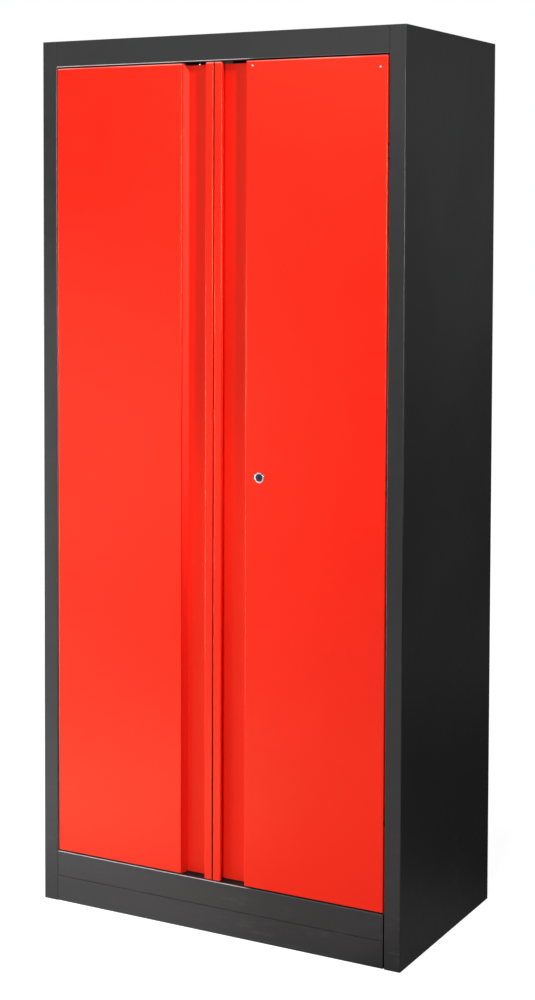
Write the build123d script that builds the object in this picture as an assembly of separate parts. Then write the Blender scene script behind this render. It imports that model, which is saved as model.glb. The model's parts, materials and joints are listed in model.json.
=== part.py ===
from build123d import *
import os
from math import cos, radians, sin

# Tall steel tool cabinet with two hinged doors, in millimetres.
# The origin is on the floor below the middle of the cabinet: +X to the right of someone who faces
# the doors, +Y towards the back, +Z up. It is drawn with both doors shut and the lock open.

# ---------------------------------------------------------------- driving dimensions
# Carcass
width = 915.0
depth = 500.0                  # front of the frame to back of the cabinet
height = 2000.0
carcass_gauge = 1.0
bend_inside = 1.0              # inside radius of every bend in the carcass and door sheet
column_width = 38.0            # front flange of a side panel, beside the doors
jamb_depth = 45.0              # how far the flange turns back into the cabinet
jamb_lip = 12.0
rear_flange = 20.0
foot_flange = 20.0             # bottom edge of a side panel, turned in
top_rail_height = 58.5
plinth_height = 59.5
bottom_rail_height = 58.0
rail_lip = 15.0                # stiffening lip at the rear edge of each rail
rail_overrun = 1.0             # rails end this far behind the jambs
rail_seam = 0.5                # gap between a rail and a column
lower_seam_right = 2.4         # the same at the right ends of the bottom rail and the plinth
plinth_return = 22.0
pan_flange = 20.0              # turned-down edges of the top and floor panels
wall_hole_diameter = 8.5
wall_hole_spacing = 600.0
wall_hole_drop = 100.0         # below the top of the cabinet

# Doors
door_gauge = 1.0
door_side_gap = 3.0
door_top_gap = 3.5
door_bottom_gap = 3.5
door_edge_depth = 18.0         # outer edge of a door, turned back
door_edge_lip = 12.0
door_cap_depth = 17.0          # top and bottom edges of a door, turned back
door_cap_leg = 20.0            # front leg of those caps, against the skin
meeting_gap = 2.5
meeting_offset = -2.5          # the doors meet this far from the cabinet's middle
handle_reach = 81.5            # meeting line to the edge of a door's main face
handle_depth = 24.0            # finger channel, front to floor
handle_draft = 5.0             # how far the channel's wall leans over its depth
handle_notch = 3.0             # the channel's floor stops this far below the door's top
grip_reach = 21.0              # meeting line to the free edge of the lip that covers the channel
grip_return = 5.0              # that edge turned back, front to tip
grip_corner = 4.0              # round at each end of that edge
stiffener_crown = 50.0
stiffener_draft = 5.0
stiffener_flange = 15.0
stiffener_height = 16.0        # off the skin
stiffener_end_gap = 25.0
stiffener_centre = 250.0       # from the meeting line

# Hinges
hinge_count = 3
hinge_inset = 200.0            # end hinges, from the ends of the door
hinge_set_in = 20.0            # hinge axis, from the door's outer edge
hinge_set_back = 10.0          # hinge axis, behind the door's face
hinge_height = 24.0
hinge_plate = 2.5
hinge_arm_depth = 39.5         # back of the swan neck, behind the door's face
hinge_plate_front = 22.0       # front edge of the plate on the jamb
barrel_radius = 4.0
pin_radius = 2.5
pin_clearance = 0.05
pin_head_radius = 4.0
pin_head = 1.5
pin_tail = 1.5
ear_gauge = 2.0
ear_width = 16.0
ear_depth = 16.0               # ears reach this far behind the door's face
ear_play = 0.5
hinge_window = 34.0            # opening in the door's edge that the swan neck passes
screw_radius = 2.0
screw_play = 0.05
screw_head_radius = 3.75
screw_head = 1.8
screw_end = 4.0
screw_spacing = 14.0
screw_setback = 30.0           # hinge screws, behind the door's face

# Shelves
shelf_count = 4
shelf_gauge = 1.0
shelf_flange = 25.0
shelf_setback = 60.0           # front edge of a shelf, behind the frame's front
shelf_rear_gap = 3.0
shelf_side_play = 1.5
upright_width = 25.0
upright_hollow = 12.0
upright_gauge = 1.0
upright_foot = 8.0
upright_front = 88.0           # near edge of the front uprights, behind the frame's front
upright_rear = 60.0            # far edge of the rear uprights, ahead of the back
upright_end_gap = 12.0
slot_pitch = 32.0
slot_width = 11.0
slot_height = 4.0
slot_first = 52.0              # lowest slot, above the cabinet's floor
slots_per_shelf = 11
clip_gauge = 2.0
clip_width = 9.0
clip_reach = 13.0
clip_hook = 6.0
clip_drop = 18.0

# Lock on the right door
lock_from_meeting = 117.5
lock_height = 1032.0
lock_proud = 3.0
lock_head_radius = 12.0
lock_head_round = 1.2
lock_barrel_radius = 9.5
lock_hole_play = 0.1
lock_barrel_length = 22.0
lock_dish_radius = 8.6
lock_dish_depth = 0.9
lock_nut_flats = 24.0
lock_nut_height = 5.0
plug_radius = 6.5
plug_play = 0.05
plug_recess = 0.4              # plug face, below the rim of the lock
plug_square = 8.0
keyway_width = 1.6
keyway_length = 8.0
keyway_depth = 6.0
crank_radius = 15.0            # lock axis to each crank pin
crank_plate_radius = 20.0
crank_gauge = 3.0
crank_set_back = 24.0          # front of the crank plate, behind the door's face
crank_pin_radius = 3.0
crank_pin_length = 6.0
crank_swing = 90.0
crank_screw_radius = 2.0
crank_screw_head_radius = 4.0
crank_screw_head = 3.0
crank_screw_length = 10.0
rod_radius = 4.0
rod_set_back = 31.0            # rod axes, behind the door's face
rod_end_gap = 1.0              # rod tips, inside the ends of the door
rod_start = 24.0               # round part of a rod, from the lock's axis
eye_gauge = 3.0
eye_set_back = 28.0
eye_margin = 2.5
eye_overlap = 16.0             # flat eye plate, along the round rod
slot_side_play = 0.4
slot_lift_play = 0.6
guide_gauge = 2.0
guide_width = 24.0
guide_leg = 22.0
guide_reach = 38.0
guide_play = 0.3
guide_from_lock = 150.0
guide_from_end = 80.0
rail_hole_radius = 7.0         # rod and bolt holes in the rails

# Slide bolts on the left door
bolt_from_meeting = 53.0
bolt_length = 98.0
bolt_travel = 20.0
bracket_gauge = 2.0
bracket_width = 20.0
bracket_reach = 13.0           # ears, behind the channel's floor
bracket_height = 70.0
bracket_end_gap = 25.0
knob_radius = 3.0
knob_length = 12.0
knob_height = 35.0             # knob, from the bracket's outer end

# Magnetic catches under the top rail
catch_width = 30.0
catch_depth = 16.0
catch_height = 16.0
catch_from_meeting = 3.0
catch_gap = 0.3
catch_round = 2.0
catch_screw_radius = 1.5
catch_screw_head_radius = 3.0
catch_screw_head = 1.6
catch_screw_end = 3.0
catch_screw_spacing = 18.0

# ---------------------------------------------------------------- places worked out from them
front = lock_proud - (depth + lock_proud) / 2
back = front + depth
wall = width / 2 - carcass_gauge               # inner face of a side panel
jamb = width / 2 - column_width                # a jamb's face, beside a door
opening_top = height - top_rail_height
opening_bottom = plinth_height + bottom_rail_height
rail_back = front + jamb_depth + rail_overrun
panel_back = back - 2 * carcass_gauge          # front face of the back panel
bend_outside = bend_inside + carcass_gauge
door_bend = bend_inside + door_gauge
door_bottom = opening_bottom + door_bottom_gap
door_top = opening_top - door_top_gap
skin_back = front + door_gauge
channel_back = front + handle_depth + door_gauge
hinge_x = jamb - door_side_gap - hinge_set_in
hinge_y = front + hinge_set_back
hinge_levels = [
    door_bottom + hinge_inset
    + index * (door_top - door_bottom - 2 * hinge_inset) / (hinge_count - 1)
    for index in range(hinge_count)
]
upright_face = wall - upright_hollow - upright_gauge
front_upright = front + upright_front + upright_width / 2
rear_upright = back - upright_rear - upright_width / 2
shelf_half = upright_face - shelf_side_play
shelf_levels = [
    opening_bottom + slot_first + slot_pitch * slots_per_shelf * (index + 1) - slot_pitch
    for index in range(shelf_count)
]
lock_x = meeting_offset + lock_from_meeting
rod_y = front + rod_set_back
crank_side = crank_radius * cos(radians(crank_swing / 2))
crank_rise = crank_radius * sin(radians(crank_swing / 2))
slot_centre = (crank_radius + crank_side) / 2
rod_travel = 2 * crank_rise
bolt_x = meeting_offset - bolt_from_meeting
catch_y = channel_back + catch_gap
catch_bottom = opening_top - catch_height

PLANES = {
    "X": (Plane.YZ, Vector(1, 0, 0)),
    "Y": (Plane.XZ, Vector(0, 1, 0)),
    "Z": (Plane.XY, Vector(0, 0, 1)),
}


# ---------------------------------------------------------------- shape helpers
def block(x_range, y_range, z_range):
    """A box between two values on each axis, given in either order."""
    ranges = [sorted(pair) for pair in (x_range, y_range, z_range)]
    middle = [(low + high) / 2 for low, high in ranges]
    return Pos(*middle) * Box(*[high - low for low, high in ranges])


def rod_shape(radius, start, end):
    """A solid cylinder from one point to another."""
    axis = Vector(*end) - Vector(*start)
    return extrude(Plane(origin=start, z_dir=axis) * Circle(radius), amount=axis.length)


def bent_sheet(axis, points, start, end, gauge, side, inside=bend_inside):
    """Sheet bent along the points and drawn out along an axis.

    The points run along one face in the plane across the axis: (y, z) for X, (x, z) for Y and
    (x, y) for Z. The metal lies on their left where side is 1, and on their right where it is -1.
    """
    near = [Vector(*point) for point in points]
    runs = [(b - a).normalized() for a, b in zip(near, near[1:])]
    normals = [Vector(-run.Y, run.X) * side for run in runs]
    far = [near[0] + normals[0] * gauge]
    near_radii = [0.0]
    far_radii = [0.0]
    for corner, before, after, ahead in zip(near[1:], normals, normals[1:], runs[1:]):
        far.append(corner + (before + after) * (gauge / (1 + before.dot(after))))
        wraps_metal = before.dot(ahead) > 0
        near_radii.append(inside + gauge if wraps_metal else inside)
        far_radii.append(inside if wraps_metal else inside + gauge)
    far.append(near[-1] + normals[-1] * gauge)
    near_radii.append(0.0)
    far_radii.append(0.0)
    outline = FilletPolyline(
        *(near + far[::-1]), radius=near_radii + far_radii[::-1], close=True
    )
    plane, direction = PLANES[axis]
    section = Pos(*(direction * start)) * (plane * make_face(outline))
    return extrude(section, amount=end - start, dir=direction)


def pan(x_range, y_range, top, flange, gauge, front_span):
    """A tray with its four edges turned down, notched at the corners.

    front_span is how far from the middle the front edge is turned down.
    """
    x_low, x_high = x_range
    y_low, y_high = y_range
    relief = bend_inside + gauge + 1.0
    low = top - flange
    side_run = bent_sheet(
        "Y",
        [(x_low, low), (x_low, top), (x_high, top), (x_high, low)],
        y_low + relief, y_high - relief, gauge, -1,
    )
    rear_run = bent_sheet(
        "X",
        [(y_low + relief, top), (y_high, top), (y_high, low)],
        x_low + relief, x_high - relief, gauge, -1,
    )
    front_run = bent_sheet(
        "X",
        [(y_low, low), (y_low, top), (y_low + 2 * relief, top)],
        -front_span, front_span, gauge, -1,
    )
    return side_run + rear_run + front_run


# ---------------------------------------------------------------- carcass
def side_panel(s):
    """Side panel for s = -1 (left) or 1 (right): web, front column, rear and foot flanges."""
    outline = [
        (s * (width / 2 - rear_flange), back),
        (s * width / 2, back),
        (s * width / 2, front),
        (s * jamb, front),
        (s * jamb, front + jamb_depth),
        (s * (jamb + jamb_lip), front + jamb_depth),
    ]
    panel = bent_sheet("Z", outline, 0, height, carcass_gauge, -s)
    panel += block(
        (s * (width / 2 - foot_flange), s * wall),
        (front + jamb_depth + rail_overrun, back - rear_flange),
        (0, carcass_gauge),
    )
    panel -= block(
        (s * (jamb - 1), s * wall),
        (front + carcass_gauge, front + jamb_depth + 1),
        (height - carcass_gauge, height + 1),
    )
    for x, y, z in hinge_screw_points(s):
        panel -= rod_shape(
            screw_radius + screw_play,
            (x - s * hinge_plate, y, z),
            (x + s * 2 * carcass_gauge, y, z),
        )
    return panel


def rod_holes(low, high):
    """Cutters for the holes that the lock rods and the slide bolts enter."""
    places = [lock_x - slot_centre, lock_x + slot_centre, bolt_x]
    return [rod_shape(rail_hole_radius, (x, rod_y, low), (x, rod_y, high)) for x in places]


def top_rail():
    rail = bent_sheet(
        "X",
        [
            (front, height),
            (front, opening_top),
            (rail_back, opening_top),
            (rail_back, opening_top + rail_lip),
        ],
        -jamb + rail_seam, jamb - rail_seam, carcass_gauge, 1,
    )
    upper, _, left = rod_holes(opening_top - 1, opening_top + 2 * carcass_gauge)
    rail = rail - upper - left
    for x, y in catch_screw_points():
        rail -= rod_shape(
            catch_screw_radius + screw_play,
            (x, y, opening_top - 1), (x, y, opening_top + 2 * carcass_gauge),
        )
    return rail


def bottom_rail():
    rail = bent_sheet(
        "X",
        [
            (rail_back, opening_bottom - rail_lip),
            (rail_back, opening_bottom),
            (front, opening_bottom),
            (front, plinth_height),
            (front + plinth_return, plinth_height),
        ],
        -jamb + rail_seam, jamb - lower_seam_right, carcass_gauge, 1,
    )
    _, lower, left = rod_holes(opening_bottom - 2 * carcass_gauge, opening_bottom + 1)
    return rail - lower - left


def plinth():
    return bent_sheet(
        "X",
        [
            (front + plinth_return, plinth_height),
            (front, plinth_height),
            (front, 0),
            (front + plinth_return, 0),
        ],
        -jamb + rail_seam, jamb - lower_seam_right, carcass_gauge, 1,
    )


def top_panel():
    """Roof pan, with its plate carried forward over both columns."""
    front_span = jamb - rail_seam
    panel = pan(
        (-wall, wall), (front + carcass_gauge, panel_back), height, pan_flange, carcass_gauge,
        front_span,
    )
    for s in (-1, 1):
        panel += block(
            (s * front_span, s * (wall - bend_outside)),
            (front + carcass_gauge, front + jamb_depth),
            (height - carcass_gauge, height),
        )
    return panel


def floor_panel():
    return pan(
        (-wall, wall), (rail_back, panel_back), opening_bottom, pan_flange, carcass_gauge,
        jamb - rail_seam,
    )


def back_panel():
    half = wall - bend_outside
    panel = block((-half, half), (panel_back, panel_back + carcass_gauge), (0, height))
    for x in (-wall_hole_spacing / 2, wall_hole_spacing / 2):
        panel -= rod_shape(
            wall_hole_diameter / 2,
            (x, panel_back - 1, height - wall_hole_drop),
            (x, back, height - wall_hole_drop),
        )
    return panel


def upright(s, centre):
    """Slotted upright on a side panel, for the shelf clips."""
    near, far = centre - upright_width / 2, centre + upright_width / 2
    outline = [
        (s * wall, near - upright_foot),
        (s * wall, near),
        (s * (wall - upright_hollow), near),
        (s * (wall - upright_hollow), far),
        (s * wall, far),
        (s * wall, far + upright_foot),
    ]
    low = opening_bottom + upright_end_gap
    high = height - pan_flange - upright_end_gap
    post = bent_sheet("Z", outline, low, high, upright_gauge, s)
    slots = []
    level = opening_bottom + slot_first
    while level + slot_height < high:
        slots.append(
            block(
                (s * (upright_face - 1), s * (upright_face + upright_gauge + 1)),
                (centre - slot_width / 2, centre + slot_width / 2),
                (level - slot_height * 3 / 4, level + slot_height / 4),
            )
        )
        level += slot_pitch
    return post - slots


def shelf(level):
    """Shelf whose turned-down edges rest on clips at a level."""
    return pan(
        (-shelf_half, shelf_half),
        (front + shelf_setback, panel_back - shelf_rear_gap),
        level + shelf_flange, shelf_flange, shelf_gauge,
        shelf_half - bend_inside - shelf_gauge - 1,
    )


def shelf_clips():
    """Four clips to a shelf, each hooked through a slot in its upright."""
    clips = []
    for level in shelf_levels:
        for s in (-1, 1):
            for centre in (front_upright, rear_upright):
                span = (centre - clip_width / 2, centre + clip_width / 2)
                tongue = block(
                    (s * (upright_face - clip_reach), s * (upright_face + clip_hook)),
                    span, (level - clip_gauge, level),
                )
                leg = block(
                    (s * (upright_face - clip_gauge), s * upright_face),
                    span, (level - clip_drop, level),
                )
                clips.append(tongue + leg)
    return clips


# ---------------------------------------------------------------- hinges
def hinge_screw_points(s):
    """Where the hinge screws cross the inner face of a jamb."""
    return [
        (s * jamb, front + screw_setback, level + offset)
        for level in hinge_levels
        for offset in (-screw_spacing / 2, screw_spacing / 2)
    ]


def swan_neck(s, level):
    """Hinge leaf on the jamb: a plate that reaches round to the barrel behind the door."""
    low, high = level - hinge_height / 2, level + hinge_height / 2
    arm_x = s * hinge_x - s * hinge_plate / 2
    leaf = bent_sheet(
        "Z",
        [
            (s * jamb, front + hinge_plate_front),
            (s * jamb, front + hinge_arm_depth),
            (arm_x, front + hinge_arm_depth),
            (arm_x, hinge_y),
        ],
        low, high, hinge_plate, s,
    )
    leaf += rod_shape(barrel_radius, (s * hinge_x, hinge_y, low), (s * hinge_x, hinge_y, high))
    leaf -= rod_shape(
        pin_radius + pin_clearance, (s * hinge_x, hinge_y, low - 1), (s * hinge_x, hinge_y, high + 1)
    )
    for x, y, z in hinge_screw_points(s):
        if low < z < high:
            leaf -= rod_shape(
                screw_radius + screw_play, (x, y, z), (x - s * 2 * hinge_plate, y, z)
            )
    return leaf


def door_ears(s, level):
    """Hinge leaf on the door: a channel on the back of the skin with an ear each side of the barrel."""
    reach = hinge_height / 2 + ear_play + ear_gauge
    leaf = bent_sheet(
        "X",
        [
            (front + ear_depth, level - reach),
            (skin_back, level - reach),
            (skin_back, level + reach),
            (front + ear_depth, level + reach),
        ],
        s * hinge_x - ear_width / 2, s * hinge_x + ear_width / 2, ear_gauge, -1,
    )
    return leaf - rod_shape(
        pin_radius + pin_clearance,
        (s * hinge_x, hinge_y, level - reach - 1), (s * hinge_x, hinge_y, level + reach + 1),
    )


def hinge_pin(s, level):
    reach = hinge_height / 2 + ear_play + ear_gauge
    shank = rod_shape(
        pin_radius,
        (s * hinge_x, hinge_y, level - reach - pin_tail), (s * hinge_x, hinge_y, level + reach),
    )
    head = rod_shape(
        pin_head_radius,
        (s * hinge_x, hinge_y, level + reach), (s * hinge_x, hinge_y, level + reach + pin_head),
    )
    return shank + head


def hinge_screws():
    screws = []
    for s in (-1, 1):
        for x, y, z in hinge_screw_points(s):
            seat = x - s * hinge_plate
            shank = rod_shape(
                screw_radius, (seat, y, z), (x + s * (carcass_gauge + screw_end), y, z)
            )
            head = rod_shape(screw_head_radius, (seat, y, z), (seat - s * screw_head, y, z))
            screws.append(shank + head)
    return screws


# ---------------------------------------------------------------- doors
def door_skin(s):
    """Door sheet for s = -1 (left) or 1 (right): edge, face, finger channel and grip lip.

    The channel's floor runs on behind the lip, turns forward at the meeting line and folds back
    over the channel, so fingers reach behind the lip from the channel.
    """
    outer = s * (jamb - door_side_gap)
    face_end = meeting_offset + s * handle_reach
    meeting = meeting_offset + s * meeting_gap / 2
    floor = front + handle_depth
    grip_edge = meeting_offset + s * grip_reach
    grip_inside = front + door_gauge
    outline = [
        (outer - s * door_edge_lip, front + door_edge_depth),
        (outer, front + door_edge_depth),
        (outer, front),
        (face_end, front),
        (face_end - s * handle_draft, floor),
        (meeting + s * door_gauge, floor),
        (meeting + s * door_gauge, grip_inside),
        (grip_edge - s * door_gauge, grip_inside),
        (grip_edge - s * door_gauge, front + grip_return),
    ]
    skin = bent_sheet("Z", outline, door_bottom, door_top, door_gauge, -s)
    skin -= block(
        (face_end - s * door_bend, meeting - s),
        (grip_inside + bend_inside, channel_back + 1),
        (door_top - handle_notch, door_top + 1),
    )
    cap_span = sorted((outer - s * door_bend, face_end + s * door_bend))
    trim_span = (outer + s, face_end - s * door_bend)
    for end, inwards in ((door_bottom, 1), (door_top, -1)):
        corner_x, corner_z = grip_edge - s * grip_corner, end + inwards * grip_corner
        skin -= block(
            (corner_x, grip_edge + s), (front - 1, front + grip_return + 1), (corner_z, end - inwards)
        ) - rod_shape(
            grip_corner, (corner_x, front - 2, corner_z), (corner_x, front + grip_return + 2, corner_z)
        )
        skin -= block(
            trim_span, (front - 1, front + door_bend), (end - inwards, end + inwards * door_bend)
        )
        skin += bent_sheet(
            "X",
            [
                (front, end + inwards * door_cap_leg),
                (front, end),
                (front + door_cap_depth, end),
            ],
            *cap_span, door_gauge, inwards,
        )
    for level in hinge_levels:
        skin -= block(
            (outer + s, outer - s * (door_edge_lip + 1)),
            (front + 2 * door_bend, front + door_edge_depth + 1),
            (level - hinge_window / 2, level + hinge_window / 2),
        )
    if s > 0:
        skin -= rod_shape(
            lock_barrel_radius + lock_hole_play,
            (lock_x, front - 1, lock_height), (lock_x, skin_back + 1, lock_height),
        )
    return skin


def door_stiffener(s):
    """Top-hat stiffener on the back of a door's skin."""
    centre = meeting_offset + s * stiffener_centre
    crown = stiffener_crown / 2
    foot = crown + stiffener_draft
    rim = foot + stiffener_flange
    raised = skin_back + stiffener_height
    return bent_sheet(
        "Z",
        [
            (centre - rim, skin_back),
            (centre - foot, skin_back),
            (centre - crown, raised),
            (centre + crown, raised),
            (centre + foot, skin_back),
            (centre + rim, skin_back),
        ],
        door_bottom + stiffener_end_gap, door_top - stiffener_end_gap, door_gauge, 1,
    )


# ---------------------------------------------------------------- lock and rods on the right door
def lock_point(set_back):
    """A point on the lock's axis, behind the door's face."""
    return (lock_x, front + set_back, lock_height)


def lock_housing():
    head = rod_shape(lock_head_radius, lock_point(-lock_proud), lock_point(0))
    head = fillet(head.edges().group_by(Axis.Y)[0], lock_head_round)
    barrel = rod_shape(lock_barrel_radius, lock_point(0), lock_point(lock_barrel_length))
    dish = rod_shape(
        lock_dish_radius, lock_point(-lock_proud - 1), lock_point(lock_dish_depth - lock_proud)
    )
    bore = rod_shape(
        plug_radius + plug_play, lock_point(-lock_proud - 1), lock_point(lock_barrel_length + 1)
    )
    return head + barrel - dish - bore


def lock_nut():
    blank = Plane(origin=lock_point(door_gauge), x_dir=(1, 0, 0), z_dir=(0, 1, 0)) * (
        RegularPolygon(lock_nut_flats / 2, 6, major_radius=False)
        - Circle(lock_barrel_radius + lock_hole_play)
    )
    return extrude(blank, amount=lock_nut_height)


def lock_plug():
    face = plug_recess - lock_proud
    core = rod_shape(plug_radius, lock_point(face), lock_point(crank_set_back))
    tail = block(
        (lock_x - plug_square / 2, lock_x + plug_square / 2),
        (front + crank_set_back, front + crank_set_back + crank_gauge),
        (lock_height - plug_square / 2, lock_height + plug_square / 2),
    )
    keyway = block(
        (lock_x - keyway_width / 2, lock_x + keyway_width / 2),
        (front + face - 1, front + face + keyway_depth),
        (lock_height - keyway_length / 2, lock_height + keyway_length / 2),
    )
    thread = rod_shape(
        crank_screw_radius,
        lock_point(crank_set_back + crank_gauge - crank_screw_length),
        lock_point(crank_set_back + crank_gauge + 1),
    )
    return core + tail - keyway - thread


def crank_plate():
    """Plate on the square end of the plug, with a pin for each rod."""
    rear = crank_set_back + crank_gauge
    plate = rod_shape(crank_plate_radius, lock_point(crank_set_back), lock_point(rear))
    plate -= block(
        (lock_x - plug_square / 2, lock_x + plug_square / 2),
        (front + crank_set_back - 1, front + rear + 1),
        (lock_height - plug_square / 2, lock_height + plug_square / 2),
    )
    for sign in (-1, 1):
        x, z = lock_x + sign * crank_side, lock_height + sign * crank_rise
        plate += rod_shape(
            crank_pin_radius, (x, front + rear, z), (x, front + rear + crank_pin_length, z)
        )
    return plate


def crank_screw():
    rear = crank_set_back + crank_gauge
    shank = rod_shape(crank_screw_radius, lock_point(rear - crank_screw_length), lock_point(rear))
    return shank + rod_shape(
        crank_screw_head_radius, lock_point(rear), lock_point(rear + crank_screw_head)
    )


def lock_rod(up):
    """Lock rod with its slotted eye plate: up is 1 for the upper rod and -1 for the lower one."""
    rod_x = lock_x - up * slot_centre
    pin_z = lock_height - up * crank_rise
    tip = door_top - rod_end_gap if up > 0 else door_bottom + rod_end_gap
    rod = rod_shape(
        rod_radius, (rod_x, rod_y, lock_height + up * rod_start), (rod_x, rod_y, tip)
    )
    slot_half = (crank_radius - crank_side) / 2 + crank_pin_radius + slot_side_play
    slot_rise = crank_pin_radius + slot_lift_play
    eye_half = slot_half + eye_margin
    plate_y = (front + eye_set_back, front + eye_set_back + eye_gauge)
    eye = block(
        (rod_x - eye_half, rod_x + eye_half), plate_y,
        (pin_z - up * (slot_rise + eye_margin), lock_height + up * (rod_start + eye_overlap)),
    )
    slot = block(
        (rod_x - slot_half, rod_x + slot_half), (plate_y[0] - 1, plate_y[1] + 1),
        (pin_z - slot_rise, pin_z + slot_rise),
    )
    return rod + eye - slot


def rod_guides():
    """Four bent guides on the back of the right door's skin, two for each lock rod."""
    guides = []
    for up in (-1, 1):
        rod_x = lock_x - up * slot_centre
        end = door_top if up > 0 else door_bottom
        for level in (lock_height + up * guide_from_lock, end - up * guide_from_end):
            guide = bent_sheet(
                "X",
                [
                    (skin_back, level - guide_leg),
                    (skin_back, level),
                    (front + guide_reach, level),
                ],
                rod_x - guide_width / 2, rod_x + guide_width / 2, guide_gauge, -1,
            )
            guides.append(
                guide
                - rod_shape(
                    rod_radius + guide_play,
                    (rod_x, rod_y, level - guide_gauge - 1), (rod_x, rod_y, level + 1),
                )
            )
    return guides


# ---------------------------------------------------------------- slide bolts on the left door
def bolt_bracket(up):
    """Bracket on the back of the left channel: up is 1 at the top and -1 at the bottom."""
    end = door_top if up > 0 else door_bottom
    levels = sorted(
        (end - up * bracket_end_gap, end - up * (bracket_end_gap + bracket_height))
    )
    bracket = bent_sheet(
        "X",
        [
            (channel_back + bracket_reach, levels[0]),
            (channel_back, levels[0]),
            (channel_back, levels[1]),
            (channel_back + bracket_reach, levels[1]),
        ],
        bolt_x - bracket_width / 2, bolt_x + bracket_width / 2, bracket_gauge, -1,
    )
    return bracket - rod_shape(
        rod_radius + guide_play, (bolt_x, rod_y, levels[0] - 1), (bolt_x, rod_y, levels[1] + 1)
    )


def slide_bolt(up):
    end = door_top if up > 0 else door_bottom
    tip = end - up * rod_end_gap
    knob_z = end - up * (bracket_end_gap + knob_height)
    bolt = rod_shape(rod_radius, (bolt_x, rod_y, tip - up * bolt_length), (bolt_x, rod_y, tip))
    return bolt + rod_shape(
        knob_radius, (bolt_x, rod_y, knob_z), (bolt_x, rod_y + rod_radius + knob_length, knob_z)
    )


# ---------------------------------------------------------------- magnetic catches
def catch_centre(s):
    return meeting_offset + s * (catch_from_meeting + catch_width / 2)


def catch_screw_points():
    return [
        (catch_centre(s) + offset, catch_y + catch_depth / 2)
        for s in (-1, 1)
        for offset in (-catch_screw_spacing / 2, catch_screw_spacing / 2)
    ]


def magnetic_catch(s):
    centre = catch_centre(s)
    body = block(
        (centre - catch_width / 2, centre + catch_width / 2),
        (catch_y, catch_y + catch_depth),
        (catch_bottom, opening_top),
    )
    body = fillet(body.edges().filter_by(Axis.Y).group_by(Axis.Z)[0], catch_round)
    for x, y in catch_screw_points():
        body -= rod_shape(
            catch_screw_radius + screw_play, (x, y, catch_bottom - 1), (x, y, opening_top + 1)
        )
    return body


def catch_screws():
    screws = []
    for x, y in catch_screw_points():
        shank = rod_shape(
            catch_screw_radius,
            (x, y, catch_bottom), (x, y, opening_top + carcass_gauge + catch_screw_end),
        )
        head = rod_shape(
            catch_screw_head_radius, (x, y, catch_bottom - catch_screw_head), (x, y, catch_bottom)
        )
        screws.append(shank + head)
    return screws


# ---------------------------------------------------------------- the whole cabinet
def build_nodes():
    """Every node of the cabinet: a name and its solid, or a list of like solids."""
    nodes = {
        "left_side_panel": side_panel(-1),
        "right_side_panel": side_panel(1),
        "back_panel": back_panel(),
        "top_panel": top_panel(),
        "floor_panel": floor_panel(),
        "top_rail": top_rail(),
        "bottom_rail": bottom_rail(),
        "plinth": plinth(),
        "shelf_clips": shelf_clips(),
        "hinge_screws": hinge_screws(),
        "left_magnetic_catch": magnetic_catch(-1),
        "right_magnetic_catch": magnetic_catch(1),
        "catch_screws": catch_screws(),
        "lock_housing": lock_housing(),
        "lock_nut": lock_nut(),
        "lock_plug": lock_plug(),
        "crank_plate": crank_plate(),
        "crank_screw": crank_screw(),
        "upper_lock_rod": lock_rod(1),
        "lower_lock_rod": lock_rod(-1),
        "rod_guides": rod_guides(),
    }
    for number, level in enumerate(shelf_levels, start=1):
        nodes[f"shelf_{number}"] = shelf(level)
    for side, s in (("left", -1), ("right", 1)):
        nodes[f"{side}_door_skin"] = door_skin(s)
        nodes[f"{side}_door_stiffener"] = door_stiffener(s)
        nodes[f"front_{side}_upright"] = upright(s, front_upright)
        nodes[f"rear_{side}_upright"] = upright(s, rear_upright)
        for number, level in enumerate(hinge_levels, start=1):
            nodes[f"{side}_swan_neck_{number}"] = swan_neck(s, level)
            nodes[f"{side}_door_ears_{number}"] = door_ears(s, level)
            nodes[f"{side}_hinge_pin_{number}"] = hinge_pin(s, level)
    for end, up in (("upper", 1), ("lower", -1)):
        nodes[f"{end}_bolt_bracket"] = bolt_bracket(up)
        nodes[f"{end}_slide_bolt"] = slide_bolt(up)
    return nodes


os.makedirs("parts", exist_ok=True)
for name, shape in build_nodes().items():
    shapes = shape if isinstance(shape, list) else [shape]
    solids = [solid for item in shapes for solid in item.solids()]
    node = solids[0] if len(solids) == 1 else Compound(children=solids)
    node.label = name
    export_step(node, f"parts/{name}.step")
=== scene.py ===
import json
import math

import bmesh
import bpy
from mathutils import Matrix, Vector


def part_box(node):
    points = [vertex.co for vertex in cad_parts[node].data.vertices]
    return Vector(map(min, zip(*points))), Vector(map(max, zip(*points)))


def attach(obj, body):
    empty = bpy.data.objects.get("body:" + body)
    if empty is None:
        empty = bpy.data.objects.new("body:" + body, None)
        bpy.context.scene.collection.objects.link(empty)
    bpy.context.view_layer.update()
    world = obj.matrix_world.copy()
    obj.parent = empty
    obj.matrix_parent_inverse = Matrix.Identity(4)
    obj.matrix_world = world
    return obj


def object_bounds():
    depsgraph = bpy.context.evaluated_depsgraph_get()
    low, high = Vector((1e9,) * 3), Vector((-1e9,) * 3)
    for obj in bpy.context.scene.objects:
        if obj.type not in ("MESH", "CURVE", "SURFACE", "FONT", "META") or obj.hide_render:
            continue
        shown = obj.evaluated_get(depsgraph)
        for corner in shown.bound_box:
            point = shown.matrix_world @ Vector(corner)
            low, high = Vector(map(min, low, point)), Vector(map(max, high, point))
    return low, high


# A tall two-door steel tool cabinet: glossy red doors in an anthracite carcass. Metres, +Z up, the
# doors face -Y. The sheet-metal pieces come from the frame. This script gives them their finishes,
# adds two weld dimples to the right-hand door, and makes the studio around them.

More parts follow.
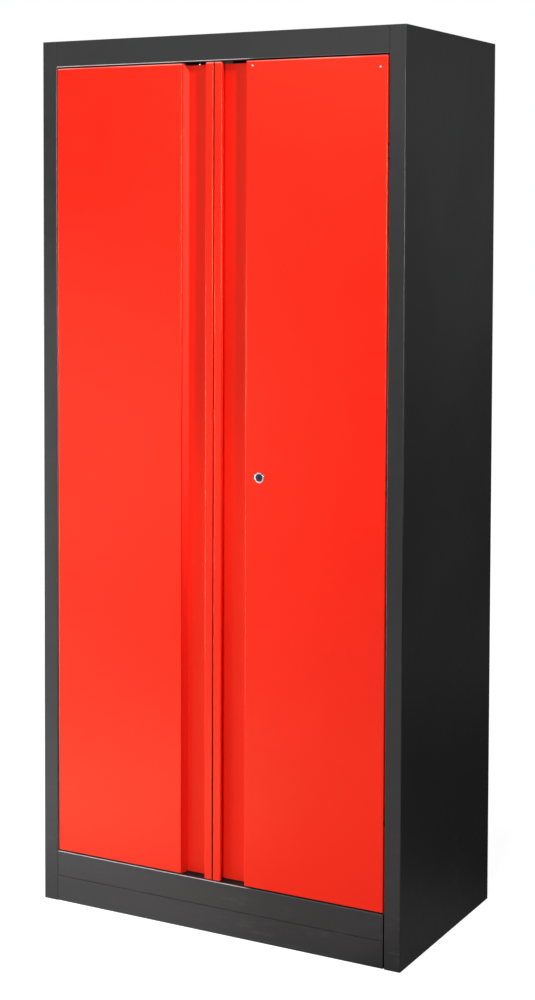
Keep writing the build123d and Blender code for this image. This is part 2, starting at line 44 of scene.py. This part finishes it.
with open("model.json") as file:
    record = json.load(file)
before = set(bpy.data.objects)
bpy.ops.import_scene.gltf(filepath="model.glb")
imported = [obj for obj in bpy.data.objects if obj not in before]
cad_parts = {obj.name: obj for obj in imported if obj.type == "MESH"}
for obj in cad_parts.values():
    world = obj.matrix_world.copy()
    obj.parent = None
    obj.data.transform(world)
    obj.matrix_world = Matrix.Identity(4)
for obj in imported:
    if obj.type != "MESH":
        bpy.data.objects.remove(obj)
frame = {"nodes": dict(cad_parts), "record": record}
cad_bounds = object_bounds()
nodes = frame["nodes"]

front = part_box("right_door_skin")[0].y   # plane of the doors and the frame
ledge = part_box("bottom_rail")[1].z       # top of the bottom rail, under the doors
lock_axis = sum(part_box("lock_plug"), Vector()) / 2.0

# ---------------------------------------------------------------- where the paint changes
# A pair is the two ends of a smooth step, in metres. Depths are behind the front.
BEND_START = (0.00002, 0.0002)     # depth: a bend begins
BEND_END = (0.0018, 0.0022)        # and has turned back
RECESS = (0.003, 0.008)            # depth: dull paint begins
CHANNEL_WALL = (0.002, 0.004)      # depth: the finger channels' walls begin
CHANNEL_FLOOR = (0.021, 0.0235)    # and their floors
DIMPLE_TOP = (-0.0009, -0.0003)    # depth: the proud tops of the weld dimples, with their painted glint, end
PAINTED_SHADE_FLOOR_Z = (0.9, 1.3)          # heights between which the channels' floors grow darker: painted shade
PAINTED_LIGHT_WALL_Z = (0.6, 1.2)           # heights between which the channels' walls grow paler: painted light
TOP_EDGE_Z = (1.9350, 1.9358)      # heights between which the doors' top edges begin
MEETING_X = -0.0025                # the doors meet here
SEAM_PAINTED_SHADE = (0.0013, 0.0018)      # distance from there: painted shade on the edges, plain paint
JAMB_X = 0.4196                    # half the width of the opening
LEDGE_FACE = (0.0005, 0.001)       # distance from the ledge's height: matt, as glossy as the rest
SILL_BEND = (0.0019, 0.0022)       # depth below the ledge: its bend ends
SILL_FOOT = 0.1                    # nothing lower gets the painted highlight
SILL_HIGHLIGHT_X = (0.07, 0.10)         # x where the painted highlight on the ledge's bend fades
LEFT_LIGHT_Z = (0.10, 0.125)          # painted light: lighter below this height
LEFT_LIGHT_X = (-0.05, 0.3)           # and left of this
NEAR_FLOOR = (0.0, 0.5)            # heights: scuffed and dusty, clean
SEAM_Z = 0.0595                    # seam between the bottom rail and the plinth
SEAM_DIRT = (0.002, 0.003)         # distance from it: dirty, clean
DISH_EDGE = (0.0080, 0.0088)       # distance from the lock's axis: its painted dark reflection ends

# ---------------------------------------------------------------- colours and gloss
# Colours are linear. A noise drifts between the two ends of a pair of tones or roughnesses.
RED_TONES = ((0.89, 0.0080, 0.0035), (0.93, 0.0105, 0.0045))
RED_SHEEN = (1.0, 0.85, 0.4, 1.0)
# painted shade on the channels' floors, high up
RED_PAINTED_FLOOR_SHADE = (0.70, 0.0025, 0.0012)
# painted light on the channels' walls
RED_PAINTED_WALL_LIGHT = (0.95, 0.050, 0.030)
# painted shade along the doors' meeting edges
RED_PAINTED_SEAM_SHADE = (0.30, 0.002, 0.002)
# painted highlight on the doors' top edges
RED_PAINTED_EDGE_HIGHLIGHT = (0.95, 0.30, 0.26)
# painted glint on the tops of the weld dimples
RED_PAINTED_GLINT = (0.92, 0.88, 0.86)
WALL_PAINTED_LIGHT_SHARE = (0.25, 1.0)        # share of the walls' painted light, low down and high up
EDGE_HIGHLIGHT_PATCHES = (0.4, 0.6)      # span of a noise, from plain red patches to painted-highlight ones
EDGE_HIGHLIGHT_SHARE = (0.25, 0.8)    # share of the painted highlight's colour in them
# weight of the painted shade along the doors' meeting edges
SEAM_SHADE_WEIGHT = 0.75
# weight of the painted glint on the weld dimples
GLINT_WEIGHT = 0.7
RED_ROUGHNESS = (0.28, 0.305)
RED_DULLING = 0.25                 # added to the roughness in the channels and behind the face
RED_BEND_GLOSS = 0.12              # taken from it on the bends
RED_PEEL_HEIGHT = 0.00006

GREY_TONES = ((0.0175, 0.0177, 0.0180), (0.0222, 0.0225, 0.0229))
# tone of the dust, and of the painted light low on the left
DUST_AND_PAINTED_LIGHT = (0.11, 0.108, 0.105)
# pale grey of the painted highlight on the ledge's bend
SILL_PAINTED_HIGHLIGHT = (0.60, 0.60, 0.60)
DUST_WEIGHT = 0.22
# weight of the painted light low on the left
LEFT_LIGHT_WEIGHT = 0.08
SCUFF_STRETCH = (26.0, 26.0, 150.0)
SCUFF_SPAN = (0.5, 0.72)
CLOUD_SPAN = (0.4, 0.65)
# streaks of the painted highlight on the ledge's bend
HIGHLIGHT_STRETCH = (40.0, 40.0, 900.0)
HIGHLIGHT_SPAN = (0.2, 0.6)
HIGHLIGHT_WEIGHT = (0.6, 1.0)
SILL_HIGHLIGHT_SHARE = (1.0, 0.12)            # share of the painted highlight, on the left and on the right
GREY_ROUGHNESS = (0.31, 0.36)
GREY_DULLING = 0.2                 # added to the roughness inside the opening, and by dust
LEDGE_DULLING = 0.5                # and on the ledge
GREY_BEND_GLOSS = 0.15             # taken from it on the bends
UPPER_DULLING = 4.5                # times that, put back on the bends above the doors
GREY_GRAIN_HEIGHT = 0.00005

ZINC_TONES = ((0.50, 0.51, 0.53), (0.64, 0.65, 0.67))
ZINC_ROUGHNESS = (0.28, 0.42)
ZINC_LINES = (2600.0, 2600.0, 60.0)
ZINC_LINE_HEIGHT = 0.00001

CHROME_TONES = ((0.70, 0.70, 0.72), (0.78, 0.78, 0.79))
# painted dark reflection in the lock's dished middle
CHROME_DARK_REFLECTION = (0.10, 0.05, 0.12)
CHROME_ROUGHNESS = (0.09, 0.16)
CHROME_MARKS = (900.0, 900.0, 7000.0)
CHROME_MARK_HEIGHT = 0.000004

PLASTIC_TONES = ((0.018, 0.018, 0.019), (0.03, 0.03, 0.031))
PLASTIC_ROUGHNESS = (0.42, 0.55)
PLASTIC_GRAIN_HEIGHT = 0.00003

RISING, FALLING = (0.0, 1.0), (1.0, 0.0)
NOISE_BODY = (0.3, 0.7)            # most values of a noise lie here
NOISE_WIDE = (0.25, 0.75)

# ---------------------------------------------------------------- weld dimples, in metres
DIMPLE_RADIUS = 0.004
DIMPLE_HEIGHT = 0.0009
DIMPLE_SWELL = 1.2                 # power of the dome's profile
DIMPLE_RINGS = 6
DIMPLE_STEPS = 24
DIMPLE_PLACES = (("left", 0.0943, 1.9269), ("right", 0.3990, 1.9137))   # side, x, z

# ---------------------------------------------------------------- camera
# Place in metres, angles in degrees, lengths in pixels of the 535 x 1000 frame
PHOTO_HEIGHT = 1000
CAMERA_PLACE = (2.05018, -3.78776, 1.59103)
CAMERA_YAW, CAMERA_PITCH, CAMERA_ROLL = 28.44406, 2.72256, 0.19793
CAMERA_FOCAL_PX = 1860.01
HORIZON_CENTRE_PX = 309.471
SENSOR = 36.0

# ---------------------------------------------------------------- studio
ROOM_LEVEL = 0.04
WHITE_LEVEL = 1.0
WHITE = (1.0, 1.0, 1.0, 1.0)
BACKDROP_EDGE = 0.86               # cosine of the backdrop's half width, from the camera's heading
BACKDROP_FADE = 0.1
FLOOR_SIZE = 40.0
FLOOR_Z = -0.0002                  # just clear of the feet
FLOOR_ALBEDO = (0.5, 0.5, 0.5)
FLOOR_LIFT = 0.93
SHADOW_REACH = (0.9, 2.4)          # distances between which the floor turns plain white
UNDER_MARGIN = 0.01                # the lift stops this far inside the cabinet's outline
PAPER_EDGE = 0.41                  # x where the white paper ends, as gloss shows it
PAPER_FADE = 0.12
PAPER_FRONT = (-4.4, -1.8)         # y where it starts, and where it is whole
PAPER_SLANT = 0.58                 # metres that the line between its halves moves left per metre
                                   # forward
PAPER_LEFT = (0.0, 0.35)           # across that line
PAPER_DIM = (1.0, 0.4)             # levels of the left and the right half
BARE_ALBEDO = (0.1, 0.1, 0.1)      # the floor right of the paper, as gloss shows it
BARE_NEAR = (0.0, 0.5)             # y where it begins to look so
BARE_FAR = (1.5, 2.5)              # and where that ends
BARE_WEIGHT = (0.2, 1.0)           # how far it looks so, in front of and behind the first line


class Shader:
    """A material or a world, and the few node recipes that it is made of."""

    def __init__(self, name, world=None):
        self.material = world or bpy.data.materials.new(name)
        self.material.use_nodes = True
        self.tree = self.material.node_tree
        self.tree.nodes.clear()
        kind = "ShaderNodeOutputWorld" if world else "ShaderNodeOutputMaterial"
        self.output = self.add(kind)
        space = "Generated" if world else "Object"
        self.coordinates = self.add("ShaderNodeTexCoord").outputs[space]

    def feed(self, socket, value):
        """Links a node's output to the socket, or gives the socket a constant."""
        if isinstance(value, bpy.types.NodeSocket):
            self.tree.links.new(value, socket)
        else:
            socket.default_value = value

    def add(self, kind, inputs=None, **properties):
        """A node with these properties; its inputs take other nodes' outputs or constants."""
        node = self.tree.nodes.new(kind)
        for name, value in properties.items():
            setattr(node, name, value)
        for key, value in (inputs or {}).items():
            self.feed(node.inputs[key], value)
        return node

    def show(self, shader_node):
        """Puts a shader on the output, and gives back the material."""
        self.feed(self.output.inputs["Surface"], shader_node.outputs[0])
        return self.material

    def surface(self, colour, roughness, height, distance, **constants):
        """Principled surface with a bump as high as the distance."""
        bump = self.add("ShaderNodeBump", {"Height": height, "Distance": distance})
        inputs = {name.replace("_", " "): value for name, value in constants.items()}
        inputs.update({"Base Color": colour, "Roughness": roughness, "Normal": bump.outputs[0]})
        return self.show(self.add("ShaderNodeBsdfPrincipled", inputs))

    def mixed(self, factor, first, second):
        """Shader that goes from first to second as the factor goes from 0 to 1."""
        sockets = {0: factor, 1: first.outputs[0], 2: second.outputs[0]}
        return self.add("ShaderNodeMixShader", sockets)

    def stretched(self, scale):
        """Object coordinates multiplied along each axis."""
        sockets = {"Vector": self.coordinates, "Scale": scale}
        return self.add("ShaderNodeMapping", sockets).outputs[0]

    def flat_from(self, place):
        """Object coordinates from a place, leaving out the depth."""
        sockets = {
            "Vector": self.coordinates,
            "Location": (-place.x, 0.0, -place.z),
            "Scale": (1.0, 0.0, 1.0),
        }
        return self.add("ShaderNodeMapping", sockets).outputs[0]

    def axis(self, name):
        """One of the object coordinates, in metres."""
        return self.add("ShaderNodeSeparateXYZ", {"Vector": self.coordinates}).outputs[name]

    def noise(self, scale, detail=2.0, roughness=0.5, vector=None):
        sockets = {
            "Vector": vector or self.coordinates,
            "Scale": scale,
            "Detail": detail,
            "Roughness": roughness,
        }
        return self.add("ShaderNodeTexNoise", sockets).outputs["Fac"]

    def ramp(self, value, span, ends=RISING):
        """Smooth step between the ends as the value crosses the span."""
        sockets = {"Value": value, "From Min": span[0], "From Max": span[1]}
        sockets.update({"To Min": ends[0], "To Max": ends[1]})
        node = self.add("ShaderNodeMapRange", sockets, interpolation_type="SMOOTHSTEP")
        return node.outputs[0]

    def math(self, operation, *values):
        """The values put through one operation, from left to right."""
        result = values[0]
        for value in values[1:]:
            sockets = {0: result, 1: value}
            result = self.add("ShaderNodeMath", sockets, operation=operation).outputs[0]
        return result

    def away(self, value, place=0.0):
        """Distance between a value and a place."""
        return self.math("ABSOLUTE", self.math("SUBTRACT", value, place), 0.0)

    def length(self, vector):
        return self.add("ShaderNodeVectorMath", {0: vector}, operation="LENGTH").outputs["Value"]

    def blend(self, factor, first, second):
        """Colour that goes from first to second as the factor goes from 0 to 1."""
        colours = [(*one, 1.0) if isinstance(one, tuple) else one for one in (first, second)]
        sockets = {"Factor": factor, 6: colours[0], 7: colours[1]}
        return self.add("ShaderNodeMix", sockets, data_type="RGBA").outputs[2]

    def mottle(self, scale, detail, tones):
        """Colour that drifts between two tones over a noise."""
        return self.blend(self.ramp(self.noise(scale, detail), NOISE_BODY), *tones)

    def behind_front(self):
        """Distance behind the plane of the doors and the frame."""
        return self.math("SUBTRACT", self.axis("Y"), front)

    def front_bends(self, behind):
        """1 on the bends along the front edges, where the coat flows thin and glossy."""
        begun = self.ramp(behind, BEND_START)
        return self.math("MULTIPLY", begun, self.ramp(behind, BEND_END, FALLING))


# ---------------------------------------------------------------- finishes
def red_powder_coat():
    """Semi-gloss red powder coat: orange peel, and a faint drift in tone and gloss.

    It is glossier over the bends, and duller in the finger channels and behind the face, where
    less powder reaches. High up, the channels' floors are darker with painted shade and their
    walls paler with painted light. Painted shade darkens the doors' meeting edges, their top
    edges carry a painted highlight in pale patches, and the weld dimples carry a painted glint.
    """
    s = Shader("door_red")
    height, behind = s.axis("Z"), s.behind_front()
    floors = s.ramp(behind, CHANNEL_FLOOR)
    walls = s.math("SUBTRACT", s.ramp(behind, CHANNEL_WALL), floors)
    # Painted shade: the channels' floors grow darker high up.
    painted_floor_shade = s.math("MULTIPLY", floors, s.ramp(height, PAINTED_SHADE_FLOOR_Z))
    # Painted light: the channels' walls grow paler high up.
    painted_wall_light = s.math("MULTIPLY", walls, s.ramp(height, PAINTED_LIGHT_WALL_Z, WALL_PAINTED_LIGHT_SHARE))
    from_seam = s.away(s.axis("X"), MEETING_X)
    # Painted shade darkens the doors' meeting edges, where the gap is dark.
    painted_seam_shade = s.math("MULTIPLY", s.ramp(from_seam, SEAM_PAINTED_SHADE, FALLING), SEAM_SHADE_WEIGHT)
    # Painted highlight in pale patches along the doors' top edges.
    highlight_patches = s.ramp(s.noise(4.0, detail=1.0), EDGE_HIGHLIGHT_PATCHES, EDGE_HIGHLIGHT_SHARE)
    edges = s.math("MULTIPLY", s.ramp(height, TOP_EDGE_Z), s.ramp(behind, BEND_END, FALLING))
    painted_edge_highlight = s.math("MULTIPLY", edges, highlight_patches)
    # Painted glint on the proud tops of the weld dimples.
    painted_highlight = s.math("MULTIPLY", s.ramp(behind, DIMPLE_TOP, FALLING), GLINT_WEIGHT)
    colour = s.mottle(2.2, 3.0, RED_TONES)
    for factor, other in (
        (painted_floor_shade, RED_PAINTED_FLOOR_SHADE),
        (painted_wall_light, RED_PAINTED_WALL_LIGHT),
        (painted_seam_shade, RED_PAINTED_SEAM_SHADE),
        (painted_edge_highlight, RED_PAINTED_EDGE_HIGHLIGHT),
        (painted_highlight, RED_PAINTED_GLINT),
    ):
        colour = s.blend(factor, colour, other)

    gloss = s.ramp(s.noise(14.0, detail=3.0), NOISE_WIDE, RED_ROUGHNESS)
    deep = s.math("MULTIPLY", s.ramp(behind, RECESS), RED_DULLING)
    bends = s.math("MULTIPLY", s.front_bends(behind), RED_BEND_GLOSS)
    roughness = s.math("SUBTRACT", s.math("ADD", gloss, deep), bends)
    peel = s.noise(420.0, detail=2.0, roughness=0.45)
    return s.surface(
        colour, roughness, peel, RED_PEEL_HEIGHT,
        Specular_IOR_Level=0.5, Specular_Tint=RED_SHEEN,
    )


def anthracite_powder_coat():
    """Satin anthracite powder coat: fine grain, glossier bends, scuffs and dust near the floor.

    It is duller inside the opening and quite matt on the ledge under the doors. The bend in front
    of that ledge carries a painted highlight in pale streaks, fainter to the right, and below it,
    on the left, painted light makes the coat lighter. The bends above the doors are matt, and dirt
    dulls the seam above the plinth.
    """
    s = Shader("carcass_anthracite")
    height, behind = s.axis("Z"), s.behind_front()
    inside = s.math("LESS_THAN", s.away(s.axis("X")), JAMB_X)
    below_ledge = s.math("SUBTRACT", ledge, height)
    bends = s.front_bends(behind)

    scuffs = s.noise(1.0, detail=5.0, roughness=0.65, vector=s.stretched(SCUFF_STRETCH))
    cloud = s.noise(11.0, detail=4.0, roughness=0.6)
    worn = s.math("MULTIPLY", s.ramp(scuffs, SCUFF_SPAN), s.ramp(cloud, CLOUD_SPAN))
    dust = s.math("MULTIPLY", s.ramp(height, NEAR_FLOOR, FALLING), worn)
    # Painted light: lighter low down on the left, inside the opening.
    painted_left_light = s.math(
        "MULTIPLY", s.ramp(height, LEFT_LIGHT_Z, (LEFT_LIGHT_WEIGHT, 0.0)), inside,
        s.ramp(s.axis("X"), LEFT_LIGHT_X, FALLING),
    )
    sill = s.math(
        "MULTIPLY", s.ramp(below_ledge, SILL_BEND, FALLING), bends, inside,
        s.math("GREATER_THAN", height, SILL_FOOT),
    )
    # Painted highlight in streaks along the bend in front of the ledge, fainter to the right.
    highlight_patches = s.noise(1.0, detail=3.0, vector=s.stretched(HIGHLIGHT_STRETCH))
    painted_highlight = s.math(
        "MULTIPLY", sill, s.ramp(highlight_patches, HIGHLIGHT_SPAN, HIGHLIGHT_WEIGHT),
        s.ramp(s.axis("X"), SILL_HIGHLIGHT_X, SILL_HIGHLIGHT_SHARE),
    )
    colour = s.mottle(3.0, 3.0, GREY_TONES)
    for factor, other in (
        (s.math("MULTIPLY", dust, DUST_WEIGHT), DUST_AND_PAINTED_LIGHT),
        (painted_left_light, DUST_AND_PAINTED_LIGHT),
        (painted_highlight, SILL_PAINTED_HIGHLIGHT),
    ):
        colour = s.blend(factor, colour, other)

    gloss = s.ramp(s.noise(45.0, detail=4.0), NOISE_WIDE, GREY_ROUGHNESS)
    deep = s.math("MULTIPLY", s.ramp(behind, RECESS), inside)
    duller = s.math("MULTIPLY", s.math("ADD", deep, dust), GREY_DULLING)
    on_ledge = s.ramp(s.away(below_ledge), LEDGE_FACE, FALLING)
    matt = s.math("MULTIPLY", on_ledge, deep, LEDGE_DULLING)
    seam = s.math("MULTIPLY", s.ramp(s.away(height, SEAM_Z), SEAM_DIRT, FALLING), bends)
    above = s.math("GREATER_THAN", height, TOP_EDGE_Z[0])
    upper = s.math("MULTIPLY", bends, above, UPPER_DULLING)
    dull = s.math("MAXIMUM", seam, sill, upper)
    clean = s.math("MULTIPLY", s.math("SUBTRACT", bends, dull), GREY_BEND_GLOSS)
    roughness = s.math("SUBTRACT", s.math("ADD", gloss, duller, matt), clean)
    grain = s.noise(900.0, detail=2.0, roughness=0.6)
    return s.surface(colour, roughness, grain, GREY_GRAIN_HEIGHT, Specular_IOR_Level=0.42)


def zinc_plate():
    """Bright zinc plating with a soft mottle and rolling lines."""
    s = Shader("zinc_plate")
    colour = s.mottle(60.0, 4.0, ZINC_TONES)
    roughness = s.ramp(s.noise(140.0, detail=3.0), NOISE_WIDE, ZINC_ROUGHNESS)
    lines = s.noise(1.0, detail=2.0, vector=s.stretched(ZINC_LINES))
    return s.surface(colour, roughness, lines, ZINC_LINE_HEIGHT, Metallic=1.0)


def lock_chrome():
    """Chrome plate with fine polishing marks, and a painted dark reflection in the dished middle.
    """
    s = Shader("lock_chrome")
    middle = s.ramp(s.length(s.flat_from(lock_axis)), DISH_EDGE, FALLING)
    # Painted dark reflection in the dished middle.
    colour = s.blend(middle, s.mottle(300.0, 3.0, CHROME_TONES), CHROME_DARK_REFLECTION)
    roughness = s.ramp(s.noise(900.0, detail=3.0), NOISE_BODY, CHROME_ROUGHNESS)
    marks = s.noise(1.0, detail=2.0, vector=s.stretched(CHROME_MARKS))
    return s.surface(colour, roughness, marks, CHROME_MARK_HEIGHT, Metallic=1.0)


def catch_plastic():
    """Black moulded plastic with a spark-eroded grain."""
    s = Shader("catch_plastic")
    colour = s.mottle(90.0, 3.0, PLASTIC_TONES)
    roughness = s.ramp(s.noise(400.0), NOISE_BODY, PLASTIC_ROUGHNESS)
    grain = s.noise(1800.0, detail=2.0)
    return s.surface(colour, roughness, grain, PLASTIC_GRAIN_HEIGHT, Specular_IOR_Level=0.45)


FINISHES = {
    "door_red": red_powder_coat(),
    "carcass_anthracite": anthracite_powder_coat(),
    "zinc_plate": zinc_plate(),
    "lock_chrome": lock_chrome(),
    "catch_plastic": catch_plastic(),
}


def dress_nodes():
    """Gives every CAD node the finish of its material slot."""
    for row in frame["record"]["subparts"]:
        mesh = nodes[row["node"]].data
        mesh.materials.clear()
        mesh.materials.append(FINISHES[row["material_slot"]])


# ---------------------------------------------------------------- weld dimples
def weld_dimple(name, x, z):
    """Low round swelling that a spot weld leaves in the door's face."""
    mesh = bmesh.new()
    top = mesh.verts.new((x, front - DIMPLE_HEIGHT, z))
    inner = None
    for ring in range(1, DIMPLE_RINGS + 1):
        part = ring / DIMPLE_RINGS
        rise = DIMPLE_HEIGHT * (1.0 - part**2) ** DIMPLE_SWELL
        circle = []
        for step in range(DIMPLE_STEPS):
            turn = 2.0 * math.pi * step / DIMPLE_STEPS
            reach = DIMPLE_RADIUS * part
            circle.append(mesh.verts.new(
                (x + reach * math.cos(turn), front - rise, z + reach * math.sin(turn))
            ))
        for step in range(DIMPLE_STEPS):
            after = (step + 1) % DIMPLE_STEPS
            if inner:
                mesh.faces.new((inner[step], circle[step], circle[after], inner[after]))
            else:
                mesh.faces.new((top, circle[step], circle[after]))
        inner = circle
    mesh.faces.new(list(reversed(inner)))
    bmesh.ops.recalc_face_normals(mesh, faces=mesh.faces)
    data = bpy.data.meshes.new(name)
    mesh.to_mesh(data)
    mesh.free()
    for face in data.polygons:
        face.use_smooth = len(face.vertices) < DIMPLE_STEPS
    data.materials.append(FINISHES["door_red"])
    dimple = bpy.data.objects.new(name, data)
    bpy.context.scene.collection.objects.link(dimple)
    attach(dimple, "right_door")


# ---------------------------------------------------------------- camera
def camera_axes():
    """The camera's right, up and ahead, before it is rolled."""
    yaw, pitch = math.radians(CAMERA_YAW), math.radians(CAMERA_PITCH)
    right = Vector((math.cos(yaw), math.sin(yaw), 0.0))
    ahead = Vector(
        (-math.sin(yaw) * math.cos(pitch), math.cos(yaw) * math.cos(pitch), -math.sin(pitch))
    )
    return right, right.cross(ahead), ahead


def make_camera():
    """Camera in front of the cabinet's right-hand side, a little above eye level."""
    data = bpy.data.cameras.new("camera")
    camera = bpy.data.objects.new("camera", data)
    bpy.context.scene.collection.objects.link(camera)
    right, up, ahead = camera_axes()
    roll = math.radians(CAMERA_ROLL)
    turned_right = math.cos(roll) * right + math.sin(roll) * up
    turned_up = math.cos(roll) * up - math.sin(roll) * right
    axes = Matrix((turned_right, turned_up, -ahead)).transposed().to_4x4()
    camera.matrix_world = Matrix.Translation(CAMERA_PLACE) @ axes
    data.sensor_fit = "VERTICAL"
    data.sensor_height = SENSOR
    data.lens = CAMERA_FOCAL_PX * SENSOR / PHOTO_HEIGHT
    data.shift_y = (HORIZON_CENTRE_PX - PHOTO_HEIGHT / 2) / PHOTO_HEIGHT
    bpy.context.scene.camera = camera


# ---------------------------------------------------------------- studio
def seen_rays(s):
    """1 for the camera's rays and those that metal and glass pass on; for its own; for gloss."""
    path = s.add("ShaderNodeLightPath").outputs
    camera_ray, glossy_ray = path["Is Camera Ray"], path["Is Glossy Ray"]
    passed = s.math("MAXIMUM", glossy_ray, path["Is Transmission Ray"])
    return s.math("MAXIMUM", camera_ray, passed), camera_ray, glossy_ray


def make_world():
    """White behind the cabinet, and a dimmer room on the camera's side.

    Gloss sees the white backdrop only within its own width behind the cabinet.
    """
    world = bpy.data.worlds.new("studio")
    bpy.context.scene.world = world
    s = Shader("studio", world)
    seen, camera_ray, _ = seen_rays(s)
    room = s.add("ShaderNodeBackground", {"Color": WHITE, "Strength": ROOM_LEVEL})
    white = s.add("ShaderNodeBackground", {"Color": WHITE, "Strength": WHITE_LEVEL})
    heading = camera_axes()[2]
    towards = s.add(
        "ShaderNodeVectorMath", {0: s.coordinates, 1: heading}, operation="DOT_PRODUCT"
    )
    span = (BACKDROP_EDGE - BACKDROP_FADE, BACKDROP_EDGE)
    backdrop = s.ramp(towards.outputs["Value"], span)
    shown = s.math("MULTIPLY", seen, s.math("MAXIMUM", camera_ray, backdrop))
    s.show(s.mixed(shown, room, white))


def make_floor():
    """White floor: its own colour takes the shadow, and a lift for seen rays keeps it white.

    The lift grows to plain white away from the cabinet. It stops below the cabinet, so no light
    shows through its seams, and gloss sees it as a sheet of paper in front and to the left. To the
    right of the paper, gloss sees a darker bare floor.
    """
    bpy.ops.mesh.primitive_plane_add(size=FLOOR_SIZE, location=(0.0, 0.0, FLOOR_Z))
    floor = bpy.context.object
    floor.name = "studio_floor"
    s = Shader("studio_floor")
    seen, camera_ray, glossy_ray = seen_rays(s)
    x, y = s.axis("X"), s.axis("Y")
    on_paper = s.ramp(x, (PAPER_EDGE - PAPER_FADE, PAPER_EDGE), FALLING)

    bare = s.math("MULTIPLY", s.ramp(y, BARE_NEAR, BARE_WEIGHT), s.ramp(y, BARE_FAR, FALLING))
    bare = s.math("MULTIPLY", glossy_ray, bare, s.math("SUBTRACT", 1.0, on_paper))
    paper = s.add("ShaderNodeBsdfDiffuse", {"Color": s.blend(bare, FLOOR_ALBEDO, BARE_ALBEDO)})

    beside = s.math("GREATER_THAN", s.away(x), cad_bounds[1].x - UNDER_MARGIN)
    beyond = s.math("GREATER_THAN", s.away(y), cad_bounds[1].y - UNDER_MARGIN)
    outside = s.math("MAXIMUM", beside, beyond)
    level = s.ramp(s.length(s.coordinates), SHADOW_REACH, (FLOOR_LIFT, WHITE_LEVEL))
    glow = s.add("ShaderNodeEmission", {"Strength": s.math("MULTIPLY", level, outside)})
    lit = s.add("ShaderNodeAddShader", {0: paper.outputs[0], 1: glow.outputs[0]})

    slant = s.math("SUBTRACT", x, s.math("MULTIPLY", y, PAPER_SLANT))
    halves = s.ramp(slant, PAPER_LEFT, PAPER_DIM)
    sheet = s.math("MULTIPLY", on_paper, s.ramp(y, PAPER_FRONT), halves)
    shown = s.math("MULTIPLY", seen, s.math("MAXIMUM", camera_ray, sheet))
    floor.data.materials.append(s.show(s.mixed(shown, paper, lit)))


def aimed(data, name, place, target):
    """A lamp at a place, turned to face a target."""
    lamp = bpy.data.objects.new(name, data)
    bpy.context.scene.collection.objects.link(lamp)
    lamp.location = place
    lamp.rotation_euler = (Vector(target) - Vector(place)).to_track_quat("-Z", "Y").to_euler()
    return lamp


def spot(name, place, target, level, cone, blend, radius):
    """Spot whose light on a facing surface at the target renders white paint at the level."""
    data = bpy.data.lights.new(name, "SPOT")
    distance = (Vector(target) - Vector(place)).length
    data.energy = 4.0 * math.pi**2 * level * distance**2
    data.spot_size = math.radians(cone)
    data.spot_blend = blend
    data.shadow_soft_size = radius
    aimed(data, name, place, target)


def soft_box(name, place, target, width, height, radiance):
    """Rectangular lamp that the camera doesn't see."""
    data = bpy.data.lights.new(name, "AREA")
    data.shape = "RECTANGLE"
    data.size, data.size_y = width, height
    data.energy = math.pi * width * height * radiance
    aimed(data, name, place, target).visible_camera = False


def make_lamps():
    """Key from the far right, and lamps that fill the shade and lie in the gloss."""
    spot(
        "key", (7.6, -4.75, 6.18), (0.0, -0.25, 8.06),
        level=1.15, cone=89.0, blend=0.19, radius=0.4,
    )
    soft_box("side_box", (-2.3, -1.0, 0.75), (0.0, -0.25, 0.75), 0.4, 1.5, radiance=24.5)
    spot(
        "low_spot", (-0.75, -1.0, 2.4), (-0.75, -1.0, 0.0),
        level=1.6, cone=34.0, blend=1.0, radius=0.1,
    )
    soft_box("high_box", (-1.4, -4.0, 2.6), (0.2, -0.25, 1.9), 1.4, 1.1, radiance=1.65)
    soft_box("right_box", (3.4, 0.8, 1.2), (0.46, 0.0, 1.1), 1.4, 1.4, radiance=3.6)
    soft_box("fill_box", (1.3, -4.6, 1.7), (0.0, -0.25, 1.1), 1.0, 1.2, radiance=33.0)
    soft_box("crown_box", (-2.3, -2.2, 3.2), (0.0, -0.25, 1.2), 1.2, 1.2, radiance=3.2)
    soft_box("card_box", (-2.5, -4.2, 1.15), (0.0, -0.25, 1.15), 1.6, 2.2, radiance=0.12)
    soft_box("left_box", (-2.6, -4.2, 0.62), (0.0, -0.25, 0.9), 0.9, 1.2, radiance=1.75)


dress_nodes()
for side, dimple_x, dimple_z in DIMPLE_PLACES:
    weld_dimple("weld_dimple_" + side, dimple_x, dimple_z)
make_world()
make_floor()
make_camera()
make_lamps()

bpy.context.scene.view_settings.view_transform = "Standard"
